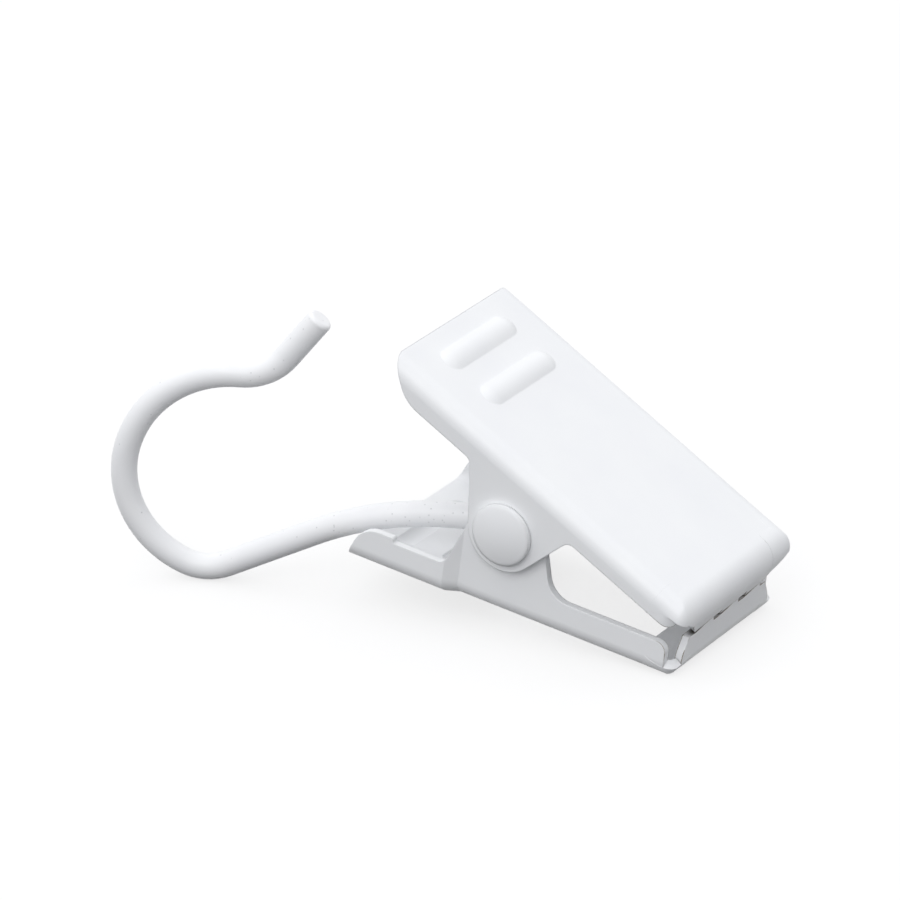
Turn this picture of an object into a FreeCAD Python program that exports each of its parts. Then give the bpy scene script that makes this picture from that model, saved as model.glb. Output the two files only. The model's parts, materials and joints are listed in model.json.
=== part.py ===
import FreeCAD, Part
import math
import os

from FreeCAD import Vector

# Curtain hook: two pressed-steel jaws on a rivet, closed by a torsion spring,
# with a wire hook swivelling on the same rivet. Millimetres and degrees.
# Each piece is drawn round the pivot axis, which runs along Y, and is then
# turned to the way it stands on a table: on the heel of the hook and on the
# front edge of the lower jaw.

# Sheet metal shared by both jaws
SHEET = 0.6                       # thickness of the steel sheet
JAW_WIDTH = 16.7                  # over the outside of the upper jaw
SIDE_BEND = 1.3                   # outer radius where a side is folded from the plate
EAR_GAP = 0.06                    # between an upper ear and the lower ear inside it
LIP_GAP = 0.06                    # between the closed lips

# Upper jaw, measured from the pivot axis along and square to its plate
UPPER_PITCH_DEG = 31.3            # how far its plate slopes down to the mouth
UPPER_PLATE = 5.5                 # pivot axis to the outer face of the plate
UPPER_REAR = 14.35                # pivot axis to the finger end
UPPER_SIDE_FRONT = 14.5           # pivot axis to the front end of the sides
UPPER_LIP_FRONT = 15.35           # pivot axis to the front face of the lip
UPPER_REAR_SIDE = 2.4             # depth of the sides behind the ears
UPPER_FRONT_SIDE = 2.15           # depth of the sides ahead of the ears
UPPER_EAR = 3.05                  # radius of the ear round the pivot
UPPER_EAR_SPLAY_FRONT_DEG = 20.0
UPPER_EAR_SPLAY_REAR_DEG = 29.0
UPPER_TAPER = 2.65                # length over which a side tapers out at the finger end
UPPER_TAPER_ROUND = 3.0
UPPER_FRONT_BEND = 1.8            # outer radius where the upper lip is folded from the plate
UPPER_TEETH_HALF = 4.9            # half the width of the toothed edge
UPPER_LIP_DEPTH = 3.2             # outer face of the plate to the tips of the teeth

# Lower jaw, measured in the same way
LOWER_PITCH_DEG = 8.0
LOWER_PLATE = 7.0
LOWER_REAR = 13.1
LOWER_SIDE_FRONT = 14.2
LOWER_LIP_FRONT = 15.05
LOWER_REAR_SIDE = 2.7
LOWER_FRONT_SIDE = 2.85
LOWER_EAR = 3.0
LOWER_EAR_SPLAY_FRONT_DEG = 15.0
LOWER_EAR_SPLAY_REAR_DEG = 19.0
LOWER_TAPER = 1.3
LOWER_TAPER_ROUND = 2.2
LOWER_LOBE_LENGTH = 4.0           # finger end to the step where the side gets lower
LOWER_LOBE_STEP = 0.4             # height of that step
LOWER_FRONT_BEND = 1.3            # outer radius where the lower lip is folded from the plate
LOWER_LIP_HALF = 7.4              # half the width of the lip at its fold
LOWER_LIP_TOP_HALF = 5.7          # half the width of the lip at its top
OPENING_REAR = 2.6                # pivot axis to the rear end of the opening in the plate
OPENING_FRONT = 11.2              # pivot axis to its front end
OPENING_HALF = 6.3                # half its width
OPENING_ROUND = 1.6
JOGGLE_FRONT = 3.6                # pivot axis to the front end of the inward step
JOGGLE_LENGTH = 1.0

# Teeth along the mouth
TOOTH_SPACING = 3.7
TOOTH_DEPTH = 0.5
TOOTH_NOTCH = 0.9                 # open slot beside each tooth of the lower lip

# Pressed ribs across the finger ends
RIB_FIRST_OFFSET = 2.7            # finger end to the first rib
RIB_SPACING = 4.0
RIB_COUNT = 2
RIB_LENGTH = 9.4
RIB_WIDTH = 2.1
RIB_RISE = 0.36

# Corner radii cut in the sheet
NOTCH_ROUND = 0.8
LOWER_WINDOW_ROUND = 2.0
SIDE_END_ROUND = 0.8
STEP_ROUND = 0.18
PLATE_CORNER_ROUND = 2.0          # front corners of the upper jaw, seen from above
LIP_CORNER_ROUND = 1.3

# Pivot rivet
PIN_RADIUS = 1.1
PIN_CLEARANCE = 0.05              # pin to the holes in the ears
HEAD_RADIUS = 2.4
HEAD_RIM = 0.3                    # height of the straight rim
HEAD_HEIGHT = 0.8
HEAD_EDGE_ROUND = 0.2
HEAD_GAP = 0.04                   # head to the upper ear

# Wire hook, drawn as one path from its eye to its tip
WIRE_RADIUS = 1.0
EYE_RADIUS = 2.35                 # to the middle of the wire
EYE_TURN_DEG = 255.0
TAIL_LENGTH = 8.6                 # straight run from the eye
NECK_RADIUS = 24.0
NECK_TURN_DEG = 25.0
NECK_LENGTH = 7.4
HEEL_RADIUS = 4.0
HEEL_TURN_DEG = 49.7
LOOP_RADIUS = 7.75
LOOP_TURN_DEG = 81.3
CROWN_RADIUS = 8.9
CROWN_TURN_DEG = 75.0
FLARE_RADIUS = 4.5
FLARE_TURN_DEG = 52.5
TIP_LENGTH = 4.2
TIP_ROUND = 0.3
HOOK_YAW_DEG = 21.5               # the loose eye lets the hook lean to one side

# Torsion spring
SPRING_WIRE = 0.35                # radius of the spring wire
SPRING_RADIUS = 1.75              # to the middle of the wire
SPRING_TURNS = 3                  # full turns; the legs add part of another
SPRING_STEP = 0.78                # from one turn to the next
SPRING_LEG = 8.6
SPRING_SIDE_GAP = 0.75            # coil to the lower ear; its leg slants into this room
SPRING_GAP = 0.12                 # leg to the plate that it presses on

ORIGIN = Vector(0, 0, 0)
ALONG_X = Vector(1, 0, 0)
ALONG_Y = Vector(0, 1, 0)
ALONG_Z = Vector(0, 0, 1)

SIDE_HALF = JAW_WIDTH / 2
JOGGLE = SHEET + EAR_GAP
INNER_HALF = SIDE_HALF - JOGGLE
JAW_ANGLE = UPPER_PITCH_DEG - LOWER_PITCH_DEG
# The sides end just behind each fold, with a corner that stays inside it.
UPPER_FOLD_CORNER = UPPER_FRONT_BEND - (UPPER_LIP_FRONT - UPPER_SIDE_FRONT)
LOWER_FOLD_CORNER = LOWER_FRONT_BEND - (LOWER_LIP_FRONT - LOWER_SIDE_FRONT)
SPRING_START = INNER_HALF - SHEET - SPRING_SIDE_GAP - SPRING_WIRE


def rounded_wire(corners, place):
    """Closed wire through (a, b, radius) corners, each set in space by place(a, b)."""
    count = len(corners)
    ends = []
    for index, (a, b, radius) in enumerate(corners):
        here = Vector(a, b, 0)
        to_last = Vector(*corners[index - 1][:2], 0) - here
        to_next = Vector(*corners[(index + 1) % count][:2], 0) - here
        if radius == 0:
            ends.append((here, None, here))
            continue
        half = to_last.getAngle(to_next) / 2
        to_last.normalize()
        to_next.normalize()
        reach = radius / math.tan(half)
        middle = to_last + to_next
        middle.normalize()
        belly = here + middle * (radius / math.sin(half) - radius)
        ends.append((here + to_last * reach, belly, here + to_next * reach))

    def put(point):
        return place(point.x, point.y)

    edges = []
    for index, (start, belly, end) in enumerate(ends):
        if belly is not None:
            edges.append(Part.Arc(put(start), put(belly), put(end)).toShape())
        following = ends[(index + 1) % count][0]
        if end.distanceToPoint(following) > 1e-6:
            edges.append(Part.LineSegment(put(end), put(following)).toShape())
    return Part.Wire(edges)


def slab_across(corners, half):
    """Prism of an outline in the XZ plane, from -half to half along Y."""
    wire = rounded_wire(corners, lambda a, b: Vector(a, -half, b))
    return Part.Face(wire).extrude(ALONG_Y * (2 * half))


def slab_along(corners, start, end):
    """Prism of an outline in the YZ plane, from start to end along X."""
    wire = rounded_wire(corners, lambda a, b: Vector(start, a, b))
    return Part.Face(wire).extrude(ALONG_X * (end - start))


def slab_upright(corners, bottom, top):
    """Prism of an outline in the XY plane, from bottom to top along Z."""
    wire = rounded_wire(corners, lambda a, b: Vector(a, b, bottom))
    return Part.Face(wire).extrude(ALONG_Z * (top - bottom))


def channel_section(x, half, plate, depth):
    """Closed outline of the bent sheet at one station along the jaw, plate up."""
    inner = half - SHEET
    inner_bend = SIDE_BEND - SHEET
    foot = plate - depth
    corners = [
        (-half, foot, 0),
        (-half, plate, SIDE_BEND),
        (half, plate, SIDE_BEND),
        (half, foot, 0),
        (inner, foot, 0),
        (inner, plate - SHEET, inner_bend),
        (-inner, plate - SHEET, inner_bend),
        (-inner, foot, 0),
    ]
    return rounded_wire(corners, lambda a, b: Vector(x, a, b))


def straight_channel(start, end, half, plate, depth):
    """Length of channel with one width."""
    face = Part.Face(channel_section(start, half, plate, depth))
    return face.extrude(ALONG_X * (end - start))


def ear_corners(plate, ear, front_side, rear_side, splay_front, splay_rear, front_round):
    """Outline of an ear: two flanks that are tangent to a round of the ear's radius."""
    front = math.radians(splay_front)
    rear = math.radians(splay_rear)
    front_top = plate - front_side
    rear_top = plate - rear_side
    apex = -ear * (math.cos(front) + math.cos(rear)) / math.sin(front + rear)
    return [
        ((ear + front_top * math.sin(front)) / math.cos(front), front_top, front_round),
        ((ear + apex * math.sin(front)) / math.cos(front), apex, ear),
        (-(ear + rear_top * math.sin(rear)) / math.cos(rear), rear_top, NOTCH_ROUND),
    ]


def folded_lip(plate, start, front, depth, bend, outline):
    """Front lip: a strip folded off the plate, trimmed to an outline seen from the front."""
    foot = plate - depth
    inner_bend = bend - SHEET
    strip = slab_across(
        [
            (start, plate, 0),
            (front, plate, bend),
            (front, foot, 0),
            (front - SHEET, foot, 0),
            (front - SHEET, plate - SHEET, inner_bend),
            (start, plate - SHEET, 0),
        ],
        SIDE_HALF,
    )
    return strip.common(slab_along(outline, start, front))


def tooth_edge(base, rise, notch):
    """Points of a saw-toothed edge across the mouth, from -Y to +Y."""
    points = []
    slope = rise / TOOTH_SPACING
    low = -UPPER_TEETH_HALF
    while low < UPPER_TEETH_HALF:
        ramp_end = min(low + TOOTH_SPACING - notch, UPPER_TEETH_HALF)
        points.append((low, base, 0))
        points.append((ramp_end, base + slope * (ramp_end - low), 0))
        if notch > 0 and ramp_end < UPPER_TEETH_HALF:
            points.append((ramp_end, base, 0))
        low = low + TOOTH_SPACING
    return points


def add_ribs(jaw, plate, rear):
    """Ribs pressed outwards in the finger end: round-topped outside, hollow inside."""
    radius = (RIB_WIDTH ** 2 / 4 + RIB_RISE ** 2) / (2 * RIB_RISE)
    axis = plate + RIB_RISE - radius
    end = math.sqrt(radius ** 2 - (plate - axis) ** 2)
    half_run = RIB_LENGTH / 2 - end
    skin = plate - SHEET / 2
    for index in range(RIB_COUNT):
        x = -rear + RIB_FIRST_OFFSET + index * RIB_SPACING
        middle = Vector(x, 0, axis)
        above = Part.makeBox(
            2 * radius,
            2 * RIB_LENGTH,
            radius,
            Vector(x - radius, -RIB_LENGTH, skin),
        )
        rib = capsule(middle, half_run, radius).common(above)
        jaw = jaw.fuse(rib).cut(capsule(middle, half_run, radius - SHEET))
    return jaw


def capsule(middle, half_run, radius):
    """Round bar along Y with ball ends."""
    start = middle - ALONG_Y * half_run
    bar = Part.makeCylinder(radius, 2 * half_run, start, ALONG_Y)
    balls = [Part.makeSphere(radius, middle + ALONG_Y * end) for end in (-half_run, half_run)]
    return bar.fuse(balls).removeSplitter()


def pierced(jaw):
    """Jaw with the pivot hole through both ears."""
    radius = PIN_RADIUS + PIN_CLEARANCE
    bore = Part.makeCylinder(radius, 2 * JAW_WIDTH, ALONG_Y * -JAW_WIDTH, ALONG_Y)
    return jaw.cut(bore).removeSplitter()


def make_upper_jaw():
    depth = UPPER_PLATE + UPPER_EAR
    rear_foot = UPPER_PLATE - UPPER_REAR_SIDE
    front_foot = UPPER_PLATE - UPPER_FRONT_SIDE
    channel = straight_channel(-UPPER_REAR, UPPER_SIDE_FRONT, SIDE_HALF, UPPER_PLATE, depth)
    ear = ear_corners(
        UPPER_PLATE,
        UPPER_EAR,
        UPPER_FRONT_SIDE,
        UPPER_REAR_SIDE,
        UPPER_EAR_SPLAY_FRONT_DEG,
        UPPER_EAR_SPLAY_REAR_DEG,
        NOTCH_ROUND,
    )
    side = [
        (-UPPER_REAR, UPPER_PLATE, 0),
        (UPPER_SIDE_FRONT, UPPER_PLATE, UPPER_FOLD_CORNER),
        (UPPER_SIDE_FRONT, front_foot, SIDE_END_ROUND),
    ]
    side += ear
    side += [(-UPPER_REAR + UPPER_TAPER, rear_foot, UPPER_TAPER_ROUND)]
    jaw = channel.common(slab_across(side, SIDE_HALF))

    tips = UPPER_PLATE - UPPER_LIP_DEPTH
    edge = tooth_edge(tips, TOOTH_DEPTH, 0)
    outline = [(SIDE_HALF, UPPER_PLATE, SIDE_BEND), (-SIDE_HALF, UPPER_PLATE, SIDE_BEND)]
    outline += edge
    start = min(UPPER_SIDE_FRONT, UPPER_LIP_FRONT - UPPER_FRONT_BEND) - SHEET
    lip = folded_lip(
        UPPER_PLATE, start, UPPER_LIP_FRONT, UPPER_LIP_DEPTH, UPPER_FRONT_BEND, outline
    )
    plan = [
        (-UPPER_REAR, -SIDE_HALF, 0),
        (UPPER_LIP_FRONT, -SIDE_HALF, PLATE_CORNER_ROUND),
        (UPPER_LIP_FRONT, SIDE_HALF, PLATE_CORNER_ROUND),
        (-UPPER_REAR, SIDE_HALF, 0),
    ]
    jaw = jaw.fuse(lip).common(slab_upright(plan, -UPPER_EAR, UPPER_PLATE))
    jaw = add_ribs(jaw, UPPER_PLATE, UPPER_REAR)
    return pierced(jaw).rotate(ORIGIN, ALONG_Y, UPPER_PITCH_DEG)


def lower_lip_edge():
    """Edge of the lower lip, which follows the upper teeth at the lip gap."""
    turn = math.radians(JAW_ANGLE)
    tips = UPPER_PLATE - UPPER_LIP_DEPTH
    base = UPPER_LIP_FRONT * math.sin(turn) - tips * math.cos(turn) + LIP_GAP
    return base, tooth_edge(base, -TOOTH_DEPTH * math.cos(turn), TOOTH_NOTCH)


def make_lower_jaw():
    depth = LOWER_PLATE + LOWER_EAR
    rear_foot = LOWER_PLATE - LOWER_REAR_SIDE
    front_foot = LOWER_PLATE - LOWER_FRONT_SIDE
    joggle_rear = -JOGGLE_FRONT - JOGGLE_LENGTH
    rear = straight_channel(-LOWER_REAR, joggle_rear, SIDE_HALF, LOWER_PLATE, depth)
    front = straight_channel(-JOGGLE_FRONT, LOWER_SIDE_FRONT, INNER_HALF, LOWER_PLATE, depth)
    sections = [
        channel_section(joggle_rear, SIDE_HALF, LOWER_PLATE, depth),
        channel_section(-JOGGLE_FRONT, INNER_HALF, LOWER_PLATE, depth),
    ]
    joggle = Part.makeLoft(sections, True, True)
    channel = rear.fuse([joggle, front])
    ear = ear_corners(
        LOWER_PLATE,
        LOWER_EAR,
        LOWER_FRONT_SIDE,
        LOWER_REAR_SIDE,
        LOWER_EAR_SPLAY_FRONT_DEG,
        LOWER_EAR_SPLAY_REAR_DEG,
        LOWER_WINDOW_ROUND,
    )
    side = [
        (-LOWER_REAR, LOWER_PLATE, 0),
        (LOWER_SIDE_FRONT, LOWER_PLATE, LOWER_FOLD_CORNER),
        (LOWER_SIDE_FRONT, front_foot, SIDE_END_ROUND),
    ]
    side += ear
    side += [
        (-LOWER_REAR + LOWER_LOBE_LENGTH, rear_foot, STEP_ROUND),
        (-LOWER_REAR + LOWER_LOBE_LENGTH, rear_foot - LOWER_LOBE_STEP, STEP_ROUND),
        (-LOWER_REAR + LOWER_TAPER, rear_foot - LOWER_LOBE_STEP, LOWER_TAPER_ROUND),
    ]
    jaw = channel.common(slab_across(side, SIDE_HALF))

    base, edge = lower_lip_edge()
    outline = [
        (LOWER_LIP_HALF, LOWER_PLATE, LIP_CORNER_ROUND),
        (-LOWER_LIP_HALF, LOWER_PLATE, LIP_CORNER_ROUND),
        (-LOWER_LIP_TOP_HALF, base, 0),
    ]
    outline += edge
    outline += [
        (UPPER_TEETH_HALF, base, 0),
        (LOWER_LIP_TOP_HALF, base, 0),
    ]
    lip_depth = LOWER_PLATE - base + TOOTH_DEPTH
    start = LOWER_SIDE_FRONT - SHEET
    lip = folded_lip(LOWER_PLATE, start, LOWER_LIP_FRONT, lip_depth, LOWER_FRONT_BEND, outline)
    opening = [
        (-OPENING_REAR, -OPENING_HALF, OPENING_ROUND),
        (OPENING_FRONT, -OPENING_HALF, OPENING_ROUND),
        (OPENING_FRONT, OPENING_HALF, OPENING_ROUND),
        (-OPENING_REAR, OPENING_HALF, OPENING_ROUND),
    ]
    cut = slab_upright(opening, LOWER_PLATE - 2 * SHEET, LOWER_PLATE + SHEET)
    jaw = jaw.fuse(lip).cut(cut)
    jaw = pierced(add_ribs(jaw, LOWER_PLATE, LOWER_REAR))
    return jaw.mirror(ORIGIN, ALONG_Z).rotate(ORIGIN, ALONG_Y, LOWER_PITCH_DEG)


def make_pivot_rivet():
    """Pin with a low domed head against each upper ear."""
    seat = SIDE_HALF + HEAD_GAP
    rim = seat + HEAD_RIM
    crown = seat + HEAD_HEIGHT
    dome_rise = HEAD_HEIGHT - HEAD_RIM
    dome_radius = (HEAD_RADIUS ** 2 + dome_rise ** 2) / (2 * dome_rise)
    half_way = HEAD_RADIUS / 2
    half_rise = math.sqrt(dome_radius ** 2 - half_way ** 2) - dome_radius + crown
    edges = [
        Part.LineSegment(Vector(0, 0, 0), Vector(PIN_RADIUS, 0, 0)),
        Part.LineSegment(Vector(PIN_RADIUS, 0, 0), Vector(PIN_RADIUS, seat, 0)),
        Part.LineSegment(Vector(PIN_RADIUS, seat, 0), Vector(HEAD_RADIUS, seat, 0)),
        Part.LineSegment(Vector(HEAD_RADIUS, seat, 0), Vector(HEAD_RADIUS, rim, 0)),
        Part.Arc(Vector(HEAD_RADIUS, rim, 0), Vector(half_way, half_rise, 0), Vector(0, crown, 0)),
        Part.LineSegment(Vector(0, crown, 0), Vector(0, 0, 0)),
    ]
    profile = Part.Face(Part.Wire([edge.toShape() for edge in edges]))
    half = profile.revolve(ORIGIN, ALONG_Y, 360)
    edge = [item for item in half.Edges if on_rim(item, ALONG_Y * rim)]
    half = half.makeFillet(HEAD_EDGE_ROUND, edge)
    return half.fuse(half.mirror(ORIGIN, ALONG_Y)).removeSplitter()


class WirePath:
    """Path of straight runs and tangent arcs in the XZ plane."""

    def __init__(self, start, heading):
        self.point = start
        self.heading = math.radians(heading)
        self.edges = []

    def run(self, length):
        ahead = Vector(math.cos(self.heading), 0, math.sin(self.heading))
        end = self.point + ahead * length
        self.edges.append(Part.LineSegment(self.point, end).toShape())
        self.point = end

    def bend(self, radius, turn):
        """Arc that turns left for a positive turn; returns its centre."""
        side = math.copysign(1, turn)
        left = Vector(-math.sin(self.heading), 0, math.cos(self.heading))
        centre = self.point + left * (side * radius)
        points = []
        for share in (0.5, 1.0):
            angle = self.heading + math.radians(turn) * share
            outward = Vector(math.sin(angle), 0, -math.cos(angle))
            points.append(centre + outward * (side * radius))
        self.edges.append(Part.Arc(self.point, points[0], points[1]).toShape())
        self.point = points[1]
        self.heading = self.heading + math.radians(turn)
        return centre


def make_wire_hook(pin_height):
    """Round wire bent to an eye, a neck, an open loop and a flared tip."""
    # The eye is drawn from its cut end round the pin to where the tail leaves it.
    first = math.radians(EYE_TURN_DEG - 90)
    start = Vector(EYE_RADIUS * math.cos(first), 0, EYE_RADIUS * math.sin(first))
    path = WirePath(start, EYE_TURN_DEG - 180)
    path.bend(EYE_RADIUS, -EYE_TURN_DEG)
    path.run(TAIL_LENGTH)
    path.bend(NECK_RADIUS, NECK_TURN_DEG)
    path.run(NECK_LENGTH)
    heel = path.bend(HEEL_RADIUS, -HEEL_TURN_DEG)
    path.bend(LOOP_RADIUS, -LOOP_TURN_DEG)
    path.bend(CROWN_RADIUS, -CROWN_TURN_DEG)
    path.bend(FLARE_RADIUS, FLARE_TURN_DEG)
    path.run(TIP_LENGTH)
    tip = path.point

    ahead = path.edges[0].tangentAt(path.edges[0].FirstParameter)
    section = Part.Wire(Part.Circle(start, ahead, WIRE_RADIUS).toShape())
    wire = Part.Wire(path.edges).makePipeShell([section], True, False)
    rim = [edge for edge in wire.Edges if on_rim(edge, tip)]
    wire = wire.makeFillet(TIP_ROUND, rim)

    # The hook is turned on the pin until its heel stands level with the jaw's front edge.
    heel_reach = math.hypot(heel.x, heel.z)
    level = HEEL_RADIUS + WIRE_RADIUS - pin_height
    pitch = math.degrees(math.asin(level / heel_reach) - math.asin(heel.z / heel_reach))
    wire = wire.rotate(ORIGIN, ALONG_Y, pitch)
    return wire.rotate(ORIGIN, ALONG_Z, HOOK_YAW_DEG)


def on_rim(edge, centre):
    """True for a round edge with its middle at a point."""
    if edge.Degenerated or not isinstance(edge.Curve, Part.Circle):
        return False
    return edge.Curve.Center.distanceToPoint(centre) < 1e-4


def leg_lean(reach):
    """Angle between a plate and a leg that leaves the coil at a tangent and ends at it."""
    span = math.hypot(SPRING_LEG, SPRING_RADIUS)
    return math.degrees(math.asin(reach / span) - math.atan2(SPRING_RADIUS, SPRING_LEG))


def make_torsion_spring():
    """Close coil on the pin with a straight leg inside each finger end."""
    inset = SHEET + SPRING_WIRE + SPRING_GAP
    lower_fall = leg_lean(LOWER_PLATE - inset) - LOWER_PITCH_DEG
    upper_climb = leg_lean(UPPER_PLATE - inset) + UPPER_PITCH_DEG
    turn = 360 * SPRING_TURNS + 180 - lower_fall - upper_climb
    height = SPRING_STEP * turn / 360

    helix = Part.makeHelix(SPRING_STEP, height, SPRING_RADIUS)
    helix.rotate(ORIGIN, ALONG_X, 90)
    helix.rotate(ORIGIN, ALONG_Y, 90 - lower_fall)
    helix.translate(ALONG_Y * SPRING_START)
    edge = helix.Edges[0]
    first = edge.valueAt(edge.FirstParameter)
    last = edge.valueAt(edge.LastParameter)
    into_coil = edge.tangentAt(edge.FirstParameter)
    out_of_coil = edge.tangentAt(edge.LastParameter)

    section = Part.Wire(Part.Circle(first, into_coil, SPRING_WIRE).toShape())
    coil = Part.Wire([edge]).makePipeShell([section], True, True)
    lower_leg = Part.makeCylinder(SPRING_WIRE, SPRING_LEG, first, into_coil * -1)
    upper_leg = Part.makeCylinder(SPRING_WIRE, SPRING_LEG, last, out_of_coil)
    return coil.fuse([lower_leg, upper_leg])


os.makedirs("parts", exist_ok=True)

# The jaw's front bend is its lowest point, and it sets the height of the pivot.
tilt = math.radians(LOWER_PITCH_DEG)
bend_ahead = LOWER_LIP_FRONT - LOWER_FRONT_BEND
bend_below = LOWER_PLATE - LOWER_FRONT_BEND
pin_height = bend_ahead * math.sin(tilt) + bend_below * math.cos(tilt) + LOWER_FRONT_BEND

pieces = {
    "upper_jaw": make_upper_jaw(),
    "lower_jaw": make_lower_jaw(),
    "pivot_rivet": make_pivot_rivet(),
    "torsion_spring": make_torsion_spring(),
    "wire_hook": make_wire_hook(pin_height),
}

# The origin is under the middle of the whole object, on the table.
box = Part.makeCompound(list(pieces.values())).optimalBoundingBox(False, False)
move = Vector(-box.Center.x, -box.Center.y, pin_height)
for name, piece in pieces.items():
    piece.translated(move).exportStep("parts/" + name + ".step")
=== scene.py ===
import json
import math

import bmesh
import bpy
from mathutils import Matrix, Vector


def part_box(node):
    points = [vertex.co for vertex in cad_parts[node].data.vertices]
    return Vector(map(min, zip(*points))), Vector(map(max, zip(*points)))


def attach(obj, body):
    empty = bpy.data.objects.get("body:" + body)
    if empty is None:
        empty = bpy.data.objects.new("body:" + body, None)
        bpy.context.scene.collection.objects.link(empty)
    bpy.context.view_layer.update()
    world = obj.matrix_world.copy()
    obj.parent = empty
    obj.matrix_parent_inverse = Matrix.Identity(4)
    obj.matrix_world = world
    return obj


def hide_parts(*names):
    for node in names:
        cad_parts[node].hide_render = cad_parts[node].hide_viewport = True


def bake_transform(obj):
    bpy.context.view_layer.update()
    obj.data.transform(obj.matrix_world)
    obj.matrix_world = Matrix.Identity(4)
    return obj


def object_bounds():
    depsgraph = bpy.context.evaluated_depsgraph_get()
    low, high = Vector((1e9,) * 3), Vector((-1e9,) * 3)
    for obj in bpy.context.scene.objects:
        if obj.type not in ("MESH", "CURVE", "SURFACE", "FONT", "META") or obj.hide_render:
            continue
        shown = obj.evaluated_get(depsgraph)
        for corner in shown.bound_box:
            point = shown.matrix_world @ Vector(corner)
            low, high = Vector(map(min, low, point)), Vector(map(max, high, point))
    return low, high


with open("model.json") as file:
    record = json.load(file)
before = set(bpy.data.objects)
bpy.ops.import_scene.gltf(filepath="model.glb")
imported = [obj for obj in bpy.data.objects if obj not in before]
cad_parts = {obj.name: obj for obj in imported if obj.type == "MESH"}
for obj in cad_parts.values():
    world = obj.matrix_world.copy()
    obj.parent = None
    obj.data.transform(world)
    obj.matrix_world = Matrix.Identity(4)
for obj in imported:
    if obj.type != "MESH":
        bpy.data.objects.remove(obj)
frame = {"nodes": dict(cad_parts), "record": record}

CAD_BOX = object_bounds()

bl_info = {
    "name": "Curtain Hook",
    "version": (1, 0, 0),
    "blender": (4, 5, 0),
    "location": "3D View > Sidebar > Curtain Hook",
    "description": "White coated sprung curtain clip on a wire hook",
    "category": "Object",
}

MM = 0.001
WHITE = (1.0, 1.0, 1.0, 1.0)

# Front corners of the jaws: shares of the way from the wall round to the lip at which
# the curve starts and ends, and share of the way down that lies flat on the plate
ARC_START = 0.35
ARC_END = 0.65
FLAT_SHARE = 0.12
# How far a corner piece laps over the plate and stands out from the solid, how thick
# it is, and its tightest round
CORNER_OVERLAP = 0.4 * MM
CORNER_PROUD = 0.012 * MM
CORNER_SHEET = 0.45 * MM
LEAST_ROUND = 0.2 * MM
# Faces round a corner piece and down it, and half the width of the grid that it starts from
CORNER_ROUND_STEPS = 36
CORNER_DOWN_STEPS = 16
GRID_HALF = 0.5

# Edges that turn by more than this stay crisp, and points nearer than this merge
SHARP_ANGLE = math.radians(40)
MERGE_DISTANCE = 1e-7

# Rivet: points on a dome's outline and steps round its axis
DOME_STEPS = 16
RIVET_STEPS = 72

# Powder coat: IOR of polyester, the values that most of a noise lies between, and rays
# that feel for edges and slits
COAT_IOR = 1.5
NOISE_LOW = 0.3
NOISE_HIGH = 0.7
FEELERS = 8

# Worn teeth: share of the worn reach from which wear and the painted shade in the slits are
# full
WORN_IN_FULL = 0.5
# Where wear starts and is full, as the cosine between the flat and the rounded normal
WEAR_START = 0.985
WEAR_FULL = 0.92
# Noise at which a rubbed patch starts and is full
RUB_START = 0.36
RUB_FULL = 0.52
# Open share of the space round a point where the painted shade in the slits starts and is full
SLIT_SHADE_START = 0.82
SLIT_SHADE_FULL = 0.45

# Specks: a place has one if its random number is above this, far from the clip and near it
RARE_FAR = 0.96
RARE_NEAR = 0.45

# Spring: what clean and oiled steel add to the roughness
CLEAN_STEEL = -0.08
OILED_STEEL = 0.12

# Camera: width of the sensor in millimetres, nearest and farthest that it sees in metres
SENSOR_WIDTH = 36.0
CLIP_NEAR = 0.01
CLIP_FAR = 5.0

# Surround: how its strength rises along each axis, its strength at the middle and at least
SURROUND_LEAN = (-0.22, 0.0, 0.10)
SURROUND_LEVEL = 0.97
SURROUND_LEAST = 0.05

# Share of the paper's white that doesn't take a shadow
PAPER_GLOW = 0.75

# Sockets of a Mix node that mixes colours
MIX_FACTOR = 0
MIX_A = 6
MIX_B = 7
MIX_RESULT = 2


def joint_place(name):
    """Point that a joint turns about, in metres."""
    for joint in frame["record"]["behaviour"]["joints"]:
        if joint["name"] == name:
            return Vector(joint["pos_m"])
    raise ValueError("no joint called " + name)


PIVOT = joint_place("jaw_hinge")
FLOOR_HEIGHT = CAD_BOX[0][2]
JAW_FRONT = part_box("upper_jaw")[1][0]


def linear(code):
    """Linear colour of an sRGB hex code, by the curve that sRGB itself gives."""
    channels = []
    for start in (0, 2, 4):
        value = int(code[start:start + 2], 16) / 255
        if value <= 0.04045:
            channels.append(value / 12.92)
        else:
            channels.append(((value + 0.055) / 1.055) ** 2.4)
    return (*channels, 1.0)


def add_node(tree, kind, settings=None, inputs=None):
    """New node with settings; an input is a constant or another node's socket."""
    node = tree.nodes.new(kind)
    for name, value in (settings or {}).items():
        setattr(node, name, value)
    for name, value in (inputs or {}).items():
        socket = node.inputs[name]
        if isinstance(value, bpy.types.NodeSocket):
            tree.links.new(value, socket)
        else:
            socket.default_value = value
    return node


def length(name, description, millimetres):
    """Property for a small length, kept in metres."""
    return bpy.props.FloatProperty(
        name=name,
        description=description,
        unit="LENGTH",
        precision=6,
        min=1e-6,
        default=millimetres * MM,
    )


def angle(name, description, degrees):
    """Property for an angle, kept in radians."""
    return bpy.props.FloatProperty(
        name=name,
        description=description,
        subtype="ANGLE",
        default=math.radians(degrees),
    )


def share(name, description, default):
    """Property for a value from none to all."""
    return bpy.props.FloatProperty(
        name=name,
        description=description,
        subtype="FACTOR",
        min=0.0,
        max=1.0,
        default=default,
    )


def colour(name, description, code):
    """Property for a colour given as an sRGB hex code."""
    return bpy.props.FloatVectorProperty(
        name=name,
        description=description,
        subtype="COLOR",
        size=4,
        min=0.0,
        max=1.0,
        default=linear(code),
    )


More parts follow.
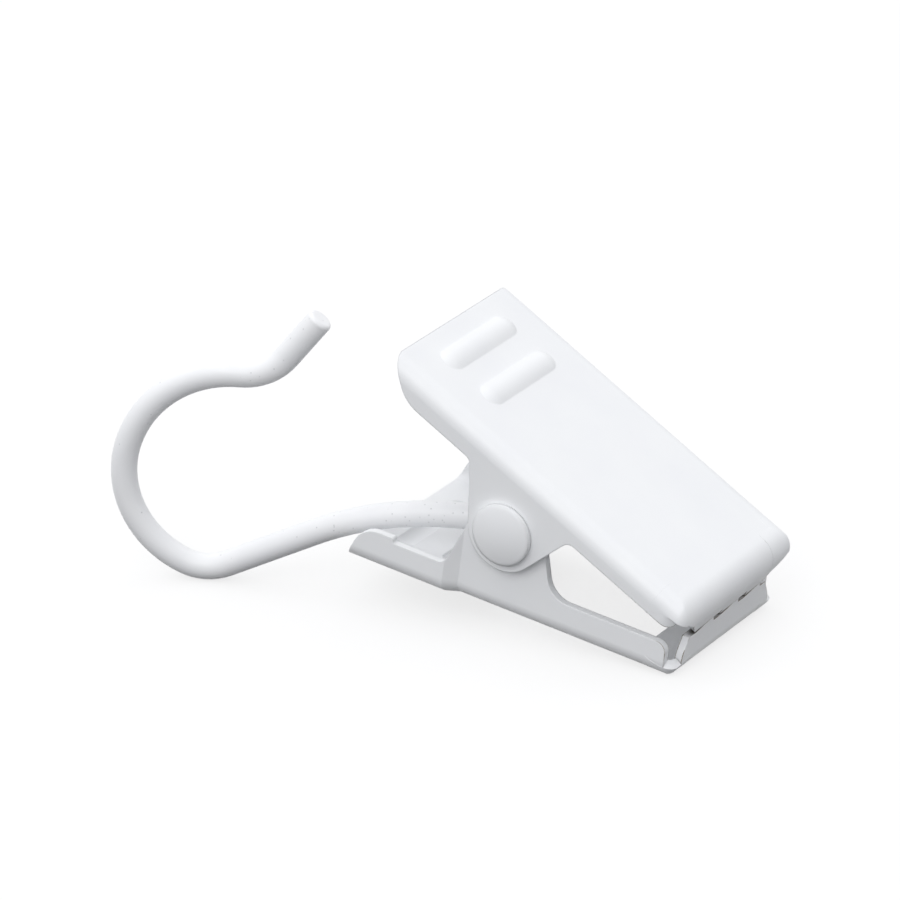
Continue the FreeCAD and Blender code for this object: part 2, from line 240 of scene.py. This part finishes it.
class CoatSettings(bpy.types.PropertyGroup):
    """White powder coat on the jaws, the rivet and the wire."""

    white: colour("White", "Coat where it lies thick", "F5F6F6")
    wire_white: colour("Wire white", "Coat of the wire, which is thicker all round", "FCFCFC")
    thin_white: colour("Thin white", "Coat where it lies thin over the steel", "EFF0F2")
    cloud: length("Cloud size", "Width of the soft patches of thick and thin coat", 4.0)
    gloss_low: share("Roughness, low", "Roughness where the coat flowed out well", 0.33)
    gloss_high: share("Roughness, high", "Roughness where it flowed out less", 0.42)
    patch: length("Gloss patch", "Width of a patch of one gloss", 1.4)
    peel: length("Peel size", "Width of one bump of the coat's orange peel", 0.45)
    peel_height: length("Peel height", "Height of those bumps", 0.006)
    edge: length("Edge round", "Radius that the coat gives to a cut edge", 0.14)
    head_edge: length("Head edge round", "Radius that the coat gives to the rivet's head", 0.45)
    worn: colour("Worn edge", "Steel that shows through where the teeth meet", "7C6D58")
    # Painted shade: a dark colour laid into the slits and open corners by the mouth, where
    # shade falls
    slit_shade: colour(
        "Slit shade", "Painted shade between the teeth and in the open corners", "4B4640"
    )
    slit_shade_reach: length(
        "Grime reach", "How near the walls of a slit are where grime stays", 0.7
    )
    worn_reach: length("Worn reach", "How far back from the mouth edges are worn", 3.2)
    speck: colour("Speck", "Dark grain baked into the coat of the wire", "CDCED0")
    speck_spacing: length("Speck spacing", "Distance between places where a speck can be", 0.34)
    speck_radius: length("Speck radius", "Radius of the largest specks", 0.09)
    speck_near: length("Specks, near", "Pivot to where specks are most common", 6.0)
    speck_far: length("Specks, far", "Pivot to where specks are rarest", 22.0)


class UpperCornerSettings(bpy.types.PropertyGroup):
    """Front corners of the upper jaw, where the sheet is drawn round."""

    pitch: angle("Pitch", "Slope of the plate down to the mouth", 31.3)
    plate: length("Plate", "Pivot axis to the outer face of the plate", 5.5)
    front: length("Front", "Pivot axis to the front of the lip", 15.35)
    half: length("Half width", "Middle of the jaw to the outside of a wall", 8.35)
    front_bend: length("Front bend", "Outer radius of the lip's fold", 1.8)
    side_bend: length("Side bend", "Outer radius of a wall's fold", 1.3)
    plan_round: length("Corner round", "Radius of the corner, seen from above", 0.84)
    run: length("Run", "How far the corner reaches back from the front and the side", 3.2)
    wall_depth: length("Depth at the wall", "Plate to the rim where it meets the wall", 2.1)
    depth: length("Depth", "Plate to the rim at the corner itself", 1.15)
    lip_depth: length("Depth at the lip", "Plate to the rim where it meets the lip", 2.4)


class LowerCornerSettings(bpy.types.PropertyGroup):
    """Front corners of the lower jaw, open above the fold."""

    pitch: angle("Pitch", "Slope of the plate down to the mouth", 8.0)
    plate: length("Plate", "Pivot axis to the outer face of the plate", 7.0)
    front: length("Front", "Pivot axis to the front of the lip", 15.05)
    half: length("Half width", "Middle of the jaw to the outside of a wall", 7.69)
    front_bend: length("Front bend", "Outer radius of the lip's fold", 1.3)
    side_bend: length("Side bend", "Outer radius of a wall's fold", 1.3)
    plan_round: length("Corner round", "Radius of the corner, seen from above", 0.84)
    run: length("Run", "How far the corner reaches back from the front and the side", 2.4)
    wall_depth: length("Depth at the wall", "Plate to the rim where it meets the wall", 1.3)
    depth: length("Depth", "Plate to the rim at the corner itself", 0.9)
    lip_depth: length("Depth at the lip", "Plate to the rim where it meets the lip", 1.3)


class RivetSettings(bpy.types.PropertyGroup):
    """Rivet through the ears, with a low domed head on each side."""

    pin: length("Pin", "Radius of the pin", 1.1)
    head: length("Head", "Radius of a head", 2.4)
    rim: length("Rim", "Height of a head at its edge", 0.4)
    height: length("Height", "Height of a head at its middle", 0.8)
    seat: length("Seat", "Middle of the pivot to the underside of a head", 8.39)


class SpringSettings(bpy.types.PropertyGroup):
    """Bare drawn wire of the spring."""

    bright: colour("Bright", "Clean drawn steel", "C9CBCE")
    dull: colour("Dull", "Steel under a film of oil", "A3A39F")
    film: length("Film patch", "Width of the patches of oil", 1.6)
    groove: length("Groove", "Width of one drawing mark", 0.06)
    groove_height: length("Groove height", "Depth of the drawing marks", 0.002)
    roughness: share("Roughness", "Spread of the steel's shine", 0.27)
    lower_end: length(
        "Lower end", "Middle of the pivot to the coil's end by the lower jaw's leg", 6.2
    )
    upper_end: length(
        "Upper end", "Middle of the pivot to the coil's end by the upper jaw's leg", 3.2
    )


class StageSettings(bpy.types.PropertyGroup):
    """Camera, floor and light."""

    azimuth: angle("Azimuth", "Camera angle round the object", 30.57)
    elevation: angle("Elevation", "Camera angle above the horizon", 23.95)
    distance: length("Distance", "Camera to the pivot", 500.0)
    lens: bpy.props.FloatProperty(
        name="Focal length",
        description="Focal length of the camera in millimetres",
        min=10.0,
        default=268.0,
    )
    frame_shift: bpy.props.FloatVectorProperty(
        name="Frame shift",
        description="Sideways and upward shift that puts the clip to the right of the frame",
        size=2,
        default=(-0.1231, 0.0490),
    )
    floor_half: length("Floor", "Half the width of the paper under the object", 1500.0)
    paper: colour("Paper", "White paper under the object", "FCFCFC")
    shade: colour("Paper bounce", "How bright the paper is to the undersides", "444547")
    surround: colour("Surround", "Soft light from all round", "FBFCFF")
    softbox: bpy.props.FloatVectorProperty(
        name="Softbox",
        description="Where the softbox stands",
        subtype="TRANSLATION",
        size=3,
        default=(0.12, -0.50, 0.47),
    )
    softbox_size: length("Softbox size", "Width of the softbox", 400.0)
    softbox_power: bpy.props.FloatProperty(
        name="Softbox power",
        description="Power of the softbox in watts",
        min=0.0,
        default=1.0,
    )


def start_material(name):
    """Material without nodes, and its tree."""
    material = bpy.data.materials.new(name)
    material.use_nodes = True
    tree = material.node_tree
    tree.nodes.clear()
    return material, tree


def powder_coat(name, coat, thick, edge, marks=None):
    """White polyester powder, sprayed on and baked.

    It flows out to a soft satin shine with a fine orange peel, rounds every cut
    edge, and lies a little thinner in soft patches where the steel greys it.
    thick is its colour where it lies thick, and edge the radius of a cut edge.
    marks(tree, place, rounded, white) may add wear, painted shade or specks to the colour.
    """
    material, tree = start_material(name)
    place = add_node(tree, "ShaderNodeTexCoord").outputs["Object"]
    cloud = add_node(
        tree,
        "ShaderNodeTexNoise",
        inputs={"Vector": place, "Scale": 1 / coat.cloud, "Detail": 2.0, "Roughness": 0.4},
    )
    white = add_node(
        tree,
        "ShaderNodeMix",
        {"data_type": "RGBA"},
        {MIX_FACTOR: cloud.outputs["Fac"], MIX_A: coat.thin_white, MIX_B: thick},
    ).outputs[MIX_RESULT]
    rounded = add_node(
        tree, "ShaderNodeBevel", {"samples": FEELERS}, {"Radius": edge}
    ).outputs["Normal"]
    if marks:
        white = marks(tree, place, rounded, white)

    patch = add_node(
        tree,
        "ShaderNodeTexNoise",
        inputs={"Vector": place, "Scale": 1 / coat.patch, "Detail": 1.0},
    )
    roughness = add_node(
        tree,
        "ShaderNodeMapRange",
        inputs={
            "Value": patch.outputs["Fac"],
            "From Min": NOISE_LOW,
            "From Max": NOISE_HIGH,
            "To Min": coat.gloss_low,
            "To Max": coat.gloss_high,
        },
    )
    peel = add_node(
        tree,
        "ShaderNodeTexNoise",
        inputs={"Vector": place, "Scale": 1 / coat.peel, "Detail": 1.0, "Roughness": 0.4},
    )
    skin = add_node(
        tree,
        "ShaderNodeBump",
        inputs={
            "Strength": 1.0,
            "Distance": coat.peel_height,
            "Height": peel.outputs["Fac"],
            "Normal": rounded,
        },
    )
    shader = add_node(
        tree,
        "ShaderNodeBsdfPrincipled",
        inputs={
            "Base Color": white,
            "Roughness": roughness.outputs["Result"],
            "IOR": COAT_IOR,
            "Normal": skin.outputs["Normal"],
        },
    )
    add_node(tree, "ShaderNodeOutputMaterial", inputs={"Surface": shader.outputs["BSDF"]})
    return material


def worn_teeth_and_slit_shade(coat):
    """Marks of a jaw, by its mouth: bare steel along the edges, and painted shade that darkens
    the slits.
    """

    def marks(tree, place, rounded, white):
        flat = add_node(tree, "ShaderNodeNewGeometry").outputs["Normal"]
        facing = add_node(
            tree, "ShaderNodeVectorMath", {"operation": "DOT_PRODUCT"}, {0: flat, 1: rounded}
        )
        edge = add_node(
            tree,
            "ShaderNodeMapRange",
            inputs={
                "Value": facing.outputs["Value"],
                "From Min": WEAR_START,
                "From Max": WEAR_FULL,
            },
        )
        along = add_node(tree, "ShaderNodeSeparateXYZ", inputs={"Vector": place})
        mouth = add_node(
            tree,
            "ShaderNodeMapRange",
            inputs={
                "Value": along.outputs["X"],
                "From Min": JAW_FRONT - coat.worn_reach,
                "From Max": JAW_FRONT - WORN_IN_FULL * coat.worn_reach,
            },
        )
        rubbed = add_node(
            tree,
            "ShaderNodeTexNoise",
            inputs={"Vector": place, "Scale": 1 / coat.patch, "Detail": 3.0},
        )
        patchy = add_node(
            tree,
            "ShaderNodeMapRange",
            inputs={
                "Value": rubbed.outputs["Fac"],
                "From Min": RUB_START,
                "From Max": RUB_FULL,
            },
        )
        at_mouth = add_node(
            tree,
            "ShaderNodeMath",
            {"operation": "MULTIPLY"},
            {0: edge.outputs["Result"], 1: mouth.outputs["Result"]},
        )
        amount = add_node(
            tree,
            "ShaderNodeMath",
            {"operation": "MULTIPLY"},
            {0: at_mouth.outputs["Value"], 1: patchy.outputs["Result"]},
        )
        bare = add_node(
            tree,
            "ShaderNodeMix",
            {"data_type": "RGBA"},
            {MIX_FACTOR: amount.outputs["Value"], MIX_A: white, MIX_B: coat.worn},
        ).outputs[MIX_RESULT]
        # Painted shade: darkens the colour where the space round a point is closed in, near the
        # mouth
        room = add_node(
            tree,
            "ShaderNodeAmbientOcclusion",
            {"samples": FEELERS},
            {"Distance": coat.slit_shade_reach},
        )
        slit = add_node(
            tree,
            "ShaderNodeMapRange",
            inputs={
                "Value": room.outputs["AO"],
                "From Min": SLIT_SHADE_START,
                "From Max": SLIT_SHADE_FULL,
            },
        )
        shaded_slit = add_node(
            tree,
            "ShaderNodeMath",
            {"operation": "MULTIPLY"},
            {0: slit.outputs["Result"], 1: mouth.outputs["Result"]},
        )
        return add_node(
            tree,
            "ShaderNodeMix",
            {"data_type": "RGBA"},
            {MIX_FACTOR: shaded_slit.outputs["Value"], MIX_A: bare, MIX_B: coat.slit_shade},
        ).outputs[MIX_RESULT]

    return marks


def grain_specks(coat):
    """Marks of the wire: small dark grains in the coat, most of them near the clip."""

    def marks(tree, place, rounded, white):
        cells = add_node(
            tree,
            "ShaderNodeTexVoronoi",
            inputs={"Vector": place, "Scale": 1 / coat.speck_spacing, "Randomness": 1.0},
        )
        spot = add_node(
            tree,
            "ShaderNodeMapRange",
            inputs={
                "Value": cells.outputs["Distance"],
                "From Min": coat.speck_radius / coat.speck_spacing,
                "From Max": 0.0,
            },
        )
        along = add_node(tree, "ShaderNodeSeparateXYZ", inputs={"Vector": place})
        rarity = add_node(
            tree,
            "ShaderNodeMapRange",
            inputs={
                "Value": along.outputs["X"],
                "From Min": PIVOT.x - coat.speck_far,
                "From Max": PIVOT.x - coat.speck_near,
                "To Min": RARE_FAR,
                "To Max": RARE_NEAR,
            },
        )
        draw = add_node(
            tree, "ShaderNodeSeparateColor", inputs={"Color": cells.outputs["Color"]}
        )
        chosen = add_node(
            tree,
            "ShaderNodeMath",
            {"operation": "GREATER_THAN"},
            {0: draw.outputs["Red"], 1: rarity.outputs["Result"]},
        )
        amount = add_node(
            tree,
            "ShaderNodeMath",
            {"operation": "MULTIPLY"},
            {0: spot.outputs["Result"], 1: chosen.outputs["Value"]},
        )
        return add_node(
            tree,
            "ShaderNodeMix",
            {"data_type": "RGBA"},
            {MIX_FACTOR: amount.outputs["Value"], MIX_A: white, MIX_B: coat.speck},
        ).outputs[MIX_RESULT]

    return marks


def spring_steel(name, spring):
    """Hard-drawn steel wire: bright, with fine marks of the die and dull patches of oil."""
    material, tree = start_material(name)
    place = add_node(tree, "ShaderNodeTexCoord").outputs["Object"]
    film = add_node(
        tree,
        "ShaderNodeTexNoise",
        inputs={"Vector": place, "Scale": 1 / spring.film, "Detail": 3.0},
    )
    tint = add_node(
        tree,
        "ShaderNodeMix",
        {"data_type": "RGBA"},
        {MIX_FACTOR: film.outputs["Fac"], MIX_A: spring.bright, MIX_B: spring.dull},
    )
    groove = add_node(
        tree,
        "ShaderNodeTexNoise",
        inputs={"Vector": place, "Scale": 1 / spring.groove, "Detail": 2.0},
    )
    drawn = add_node(
        tree,
        "ShaderNodeBump",
        inputs={"Distance": spring.groove_height, "Height": groove.outputs["Fac"]},
    )
    roughness = add_node(
        tree,
        "ShaderNodeMapRange",
        inputs={
            "Value": film.outputs["Fac"],
            "To Min": spring.roughness + CLEAN_STEEL,
            "To Max": spring.roughness + OILED_STEEL,
        },
    )
    shader = add_node(
        tree,
        "ShaderNodeBsdfPrincipled",
        inputs={
            "Base Color": tint.outputs[MIX_RESULT],
            "Metallic": 1.0,
            "Roughness": roughness.outputs["Result"],
            "Normal": drawn.outputs["Normal"],
        },
    )
    add_node(tree, "ShaderNodeOutputMaterial", inputs={"Surface": shader.outputs["BSDF"]})
    return material


def finish(node_name, material):
    """Gives a CAD node one material."""
    mesh = frame["nodes"][node_name].data
    mesh.materials.clear()
    mesh.materials.append(material)


def new_piece(name, shape, material):
    """Object from a bmesh, with its place in its mesh."""
    mesh = bpy.data.meshes.new(name)
    shape.to_mesh(mesh)
    shape.free()
    mesh.materials.append(material)
    piece = bpy.data.objects.new(name, mesh)
    bpy.context.scene.collection.objects.link(piece)
    return piece


def bend_inset(radius, drop):
    """How far a bend lies inside the flat beyond it, that far below the plate."""
    left = max(radius - drop, 0.0)
    return radius - math.sqrt(radius * radius - left * left)


def rim_depth(corner, along):
    """Plate to the rim, at a share of the way from the wall round to the lip."""
    if along < ARC_START:
        rest = 1 - along / ARC_START
        return corner.depth + (corner.wall_depth - corner.depth) * rest * rest
    if along > ARC_END:
        gone = (along - ARC_END) / (1 - ARC_END)
        return corner.depth + (corner.lip_depth - corner.depth) * gone
    return corner.depth


def corner_point(corner, along, down, inward):
    """Point of a corner's sheet round the pivot axis, that far inside its outer face."""
    fall = max(down - FLAT_SHARE, 0.0) / (1 - FLAT_SHARE)
    drop = rim_depth(corner, along) * (1 - math.cos(fall * math.pi / 2))
    overlap = CORNER_OVERLAP * (1 - min(down / FLAT_SHARE, 1.0))
    side_inset = bend_inset(corner.side_bend, drop) + overlap
    front_inset = bend_inset(corner.front_bend, drop) + overlap
    radius = max(corner.plan_round - min(side_inset, front_inset), LEAST_ROUND)
    front = corner.front + CORNER_PROUD - front_inset - inward
    side = corner.half + CORNER_PROUD - side_inset - inward
    height = corner.plate + CORNER_PROUD - drop - inward
    if along < ARC_START:
        start = corner.front - corner.run
        return Vector((start + (front - radius - start) * along / ARC_START, side, height))
    if along > ARC_END:
        end = corner.half - corner.run
        left = (1 - along) / (1 - ARC_END)
        return Vector((front, end + (side - radius - end) * left, height))
    turn = (along - ARC_START) / (ARC_END - ARC_START) * math.pi / 2
    return Vector(
        (
            front - radius + radius * math.sin(turn),
            side - radius + radius * math.cos(turn),
            height,
        )
    )


def draw_corner(body, corner, side, lift, material):
    """Sheet drawn round one front corner of a jaw; lift is -1 where its plate is below."""
    sheet = bmesh.new()
    for inward in (0.0, CORNER_SHEET):
        face = bmesh.ops.create_grid(
            sheet, x_segments=CORNER_ROUND_STEPS, y_segments=CORNER_DOWN_STEPS, size=GRID_HALF
        )
        for vert in face["verts"]:
            along, down = vert.co.x + GRID_HALF, vert.co.y + GRID_HALF
            point = corner_point(corner, along, down, inward)
            vert.co = (point.x, side * point.y, lift * point.z)
    rims = [edge for edge in sheet.edges if edge.is_boundary]
    bmesh.ops.bridge_loops(sheet, edges=rims)
    bmesh.ops.recalc_face_normals(sheet, faces=sheet.faces[:])
    stand = Matrix.Translation(PIVOT) @ Matrix.Rotation(corner.pitch, 4, "Y")
    bmesh.ops.transform(sheet, matrix=stand, verts=sheet.verts[:])
    name = body + ("_corner_left" if side > 0 else "_corner_right")
    piece = new_piece(name, sheet, material)
    piece.data.shade_smooth()
    piece.data.set_sharp_from_angle(angle=SHARP_ANGLE)
    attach(piece, body)


class CURTAINHOOK_OT_jaws(bpy.types.Operator):
    """Coats the two jaws, with wear where their teeth meet and painted shade in their slits,
    and closes their front corners
    """

    bl_idname = "curtainhook.jaws"
    bl_label = "Jaws"

    def execute(self, context):
        coat = context.scene.curtain_hook_coat
        material = powder_coat(
            "white_powder_coat_jaws", coat, coat.white, coat.edge, worn_teeth_and_slit_shade(coat)
        )
        finish("upper_jaw", material)
        finish("lower_jaw", material)
        smooth = powder_coat("white_powder_coat_corners", coat, coat.white, 0.0)
        for side in (-1, 1):
            draw_corner("upper", context.scene.curtain_hook_upper, side, 1, smooth)
            draw_corner("lower", context.scene.curtain_hook_lower, side, -1, smooth)
        return {"FINISHED"}


def rivet_outline(rivet):
    """Radius and height of the rivet's outline, from the pole of one head to the other."""
    rise = rivet.height - rivet.rim
    ball = (rivet.head * rivet.head + rise * rise) / (2 * rise)
    half = []
    for step in range(DOME_STEPS + 1):
        radius = rivet.head * step / DOME_STEPS
        sunk = ball - math.sqrt(ball * ball - radius * radius)
        half.append((radius, rivet.seat + rivet.height - sunk))
    half += [(rivet.head, rivet.seat), (rivet.pin, rivet.seat)]
    return half + [(radius, -height) for radius, height in reversed(half)]


class CURTAINHOOK_OT_rivet(bpy.types.Operator):
    """Turns the pivot rivet and coats it"""

    bl_idname = "curtainhook.rivet"
    bl_label = "Rivet"

    def execute(self, context):
        coat = context.scene.curtain_hook_coat
        turned = bmesh.new()
        last = None
        for radius, height in rivet_outline(context.scene.curtain_hook_rivet):
            vert = turned.verts.new((radius, height, 0))
            if last:
                turned.edges.new((last, vert))
            last = vert
        bmesh.ops.spin(
            turned,
            geom=turned.verts[:] + turned.edges[:],
            axis=(0, 1, 0),
            angle=2 * math.pi,
            steps=RIVET_STEPS,
            use_merge=True,
        )
        bmesh.ops.remove_doubles(turned, verts=turned.verts[:], dist=MERGE_DISTANCE)
        bmesh.ops.recalc_face_normals(turned, faces=turned.faces[:])
        bmesh.ops.translate(turned, vec=PIVOT, verts=turned.verts[:])
        material = powder_coat("white_powder_coat_rivet", coat, coat.white, coat.head_edge)
        piece = new_piece("domed_rivet", turned, material)
        piece.data.shade_smooth()
        piece.data.set_sharp_from_angle(angle=SHARP_ANGLE)
        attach(piece, "lower")
        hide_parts("pivot_rivet")
        return {"FINISHED"}


class CURTAINHOOK_OT_wire(bpy.types.Operator):
    """Coats the wire hook, with dark grains near the clip"""

    bl_idname = "curtainhook.wire"
    bl_label = "Wire hook"

    def execute(self, context):
        coat = context.scene.curtain_hook_coat
        material = powder_coat(
            "white_powder_coat_wire", coat, coat.wire_white, coat.edge, grain_specks(coat)
        )
        finish("wire_hook", material)
        return {"FINISHED"}


class CURTAINHOOK_OT_spring(bpy.types.Operator):
    """Puts in a spring of bare steel for the solid one"""

    bl_idname = "curtainhook.spring"
    bl_label = "Torsion spring"

    def execute(self, context):
        spring = context.scene.curtain_hook_spring
        wire = bmesh.new()
        wire.from_mesh(frame["nodes"]["torsion_spring"].data)
        # Not merged and not reshaped, because merging loses the solid's own smooth normals
        piece = new_piece("twisting_spring", wire, spring_steel("drawn_spring_steel", spring))
        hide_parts("torsion_spring")
        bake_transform(piece)
        return {"FINISHED"}


def place_camera(scene, stage):
    """Camera at the photograph's viewing angle."""
    across = math.cos(stage.elevation)
    back = Vector(
        (
            math.sin(stage.azimuth) * across,
            -math.cos(stage.azimuth) * across,
            math.sin(stage.elevation),
        )
    )
    camera = bpy.data.cameras.new("photo_camera")
    camera.lens = stage.lens
    camera.sensor_width = SENSOR_WIDTH
    camera.shift_x, camera.shift_y = stage.frame_shift
    camera.clip_start = CLIP_NEAR
    camera.clip_end = CLIP_FAR
    holder = bpy.data.objects.new("photo_camera", camera)
    holder.matrix_world = (
        Matrix.Translation(PIVOT + back * stage.distance)
        @ back.to_track_quat("Z", "Y").to_matrix().to_4x4()
    )
    scene.collection.objects.link(holder)
    scene.camera = holder


def seen_directly(tree):
    """1 where the camera or a shiny surface looks at the background."""
    path = add_node(tree, "ShaderNodeLightPath")
    return add_node(
        tree,
        "ShaderNodeMath",
        {"operation": "MAXIMUM"},
        {0: path.outputs["Is Camera Ray"], 1: path.outputs["Is Glossy Ray"]},
    ).outputs["Value"]


def light_world(scene, stage):
    """Soft surround, brighter above and to the left, that the camera sees as white."""
    world = bpy.data.worlds.new("soft_surround")
    scene.world = world
    world.use_nodes = True
    tree = world.node_tree
    tree.nodes.clear()
    toward = add_node(tree, "ShaderNodeTexCoord").outputs["Generated"]
    lean = add_node(
        tree,
        "ShaderNodeVectorMath",
        {"operation": "DOT_PRODUCT"},
        {0: toward, 1: SURROUND_LEAN},
    )
    level = add_node(
        tree,
        "ShaderNodeMath",
        {"operation": "ADD"},
        {0: lean.outputs["Value"], 1: SURROUND_LEVEL},
    )
    lit = add_node(
        tree,
        "ShaderNodeMath",
        {"operation": "MAXIMUM"},
        {0: level.outputs["Value"], 1: SURROUND_LEAST},
    )
    fill = add_node(
        tree,
        "ShaderNodeBackground",
        inputs={"Color": stage.surround, "Strength": lit.outputs["Value"]},
    )
    white = add_node(tree, "ShaderNodeBackground", inputs={"Color": WHITE})
    mix = add_node(
        tree,
        "ShaderNodeMixShader",
        inputs={
            "Fac": seen_directly(tree),
            1: fill.outputs["Background"],
            2: white.outputs["Background"],
        },
    )
    add_node(tree, "ShaderNodeOutputWorld", inputs={"Surface": mix.outputs["Shader"]})


def white_paper(name, stage):
    """Matt paper: white with a faint shadow to the eye, and dim to the undersides."""
    material, tree = start_material(name)
    shown = add_node(tree, "ShaderNodeBsdfDiffuse", inputs={"Color": stage.paper})
    glow = add_node(tree, "ShaderNodeEmission", inputs={"Color": WHITE})
    white = add_node(
        tree,
        "ShaderNodeMixShader",
        inputs={"Fac": PAPER_GLOW, 1: shown.outputs["BSDF"], 2: glow.outputs["Emission"]},
    )
    bounce = add_node(tree, "ShaderNodeBsdfDiffuse", inputs={"Color": stage.shade})
    mix = add_node(
        tree,
        "ShaderNodeMixShader",
        inputs={
            "Fac": seen_directly(tree),
            1: bounce.outputs["BSDF"],
            2: white.outputs["Shader"],
        },
    )
    add_node(tree, "ShaderNodeOutputMaterial", inputs={"Surface": mix.outputs["Shader"]})
    return material


def lay_floor(stage):
    """Sheet of paper under the object."""
    paper = bmesh.new()
    bmesh.ops.create_grid(
        paper,
        x_segments=1,
        y_segments=1,
        size=stage.floor_half,
        matrix=Matrix.Translation((0, 0, FLOOR_HEIGHT)),
    )
    floor = new_piece("paper_floor", paper, white_paper("matt_white_paper", stage))


def hang_softbox(scene, stage):
    """Softbox above the camera and a little to its left, aimed at the middle of the object."""
    lamp = bpy.data.lights.new("softbox", "AREA")
    lamp.size = stage.softbox_size
    lamp.energy = stage.softbox_power
    holder = bpy.data.objects.new("softbox", lamp)
    stand = Vector(stage.softbox)
    holder.matrix_world = (
        Matrix.Translation(stand) @ stand.to_track_quat("Z", "Y").to_matrix().to_4x4()
    )
    scene.collection.objects.link(holder)


class CURTAINHOOK_OT_stage(bpy.types.Operator):
    """Sets the camera, the paper floor and the light"""

    bl_idname = "curtainhook.stage"
    bl_label = "Stage"

    def execute(self, context):
        scene = context.scene
        stage = scene.curtain_hook_stage
        scene.view_settings.view_transform = "Standard"
        place_camera(scene, stage)
        light_world(scene, stage)
        lay_floor(stage)
        hang_softbox(scene, stage)
        return {"FINISHED"}


OPERATORS = (
    CURTAINHOOK_OT_jaws,
    CURTAINHOOK_OT_rivet,
    CURTAINHOOK_OT_wire,
    CURTAINHOOK_OT_spring,
    CURTAINHOOK_OT_stage,
)


class CURTAINHOOK_PT_panel(bpy.types.Panel):
    """Lists the steps"""

    bl_label = "Curtain Hook"
    bl_idname = "CURTAINHOOK_PT_panel"
    bl_space_type = "VIEW_3D"
    bl_region_type = "UI"
    bl_category = "Curtain Hook"

    def draw(self, context):
        for operator in OPERATORS:
            self.layout.operator(operator.bl_idname)


SETTINGS = {
    "curtain_hook_coat": CoatSettings,
    "curtain_hook_upper": UpperCornerSettings,
    "curtain_hook_lower": LowerCornerSettings,
    "curtain_hook_rivet": RivetSettings,
    "curtain_hook_spring": SpringSettings,
    "curtain_hook_stage": StageSettings,
}
CLASSES = (*SETTINGS.values(), *OPERATORS, CURTAINHOOK_PT_panel)


def register():
    for item in CLASSES:
        bpy.utils.register_class(item)
    for name, group in SETTINGS.items():
        setattr(bpy.types.Scene, name, bpy.props.PointerProperty(type=group))


def unregister():
    for name in SETTINGS:
        delattr(bpy.types.Scene, name)
    for item in reversed(CLASSES):
        bpy.utils.unregister_class(item)


def main():
    register()
    bpy.ops.curtainhook.jaws()
    bpy.ops.curtainhook.rivet()
    bpy.ops.curtainhook.wire()
    bpy.ops.curtainhook.spring()
    bpy.ops.curtainhook.stage()


if __name__ == "__main__":
    main()
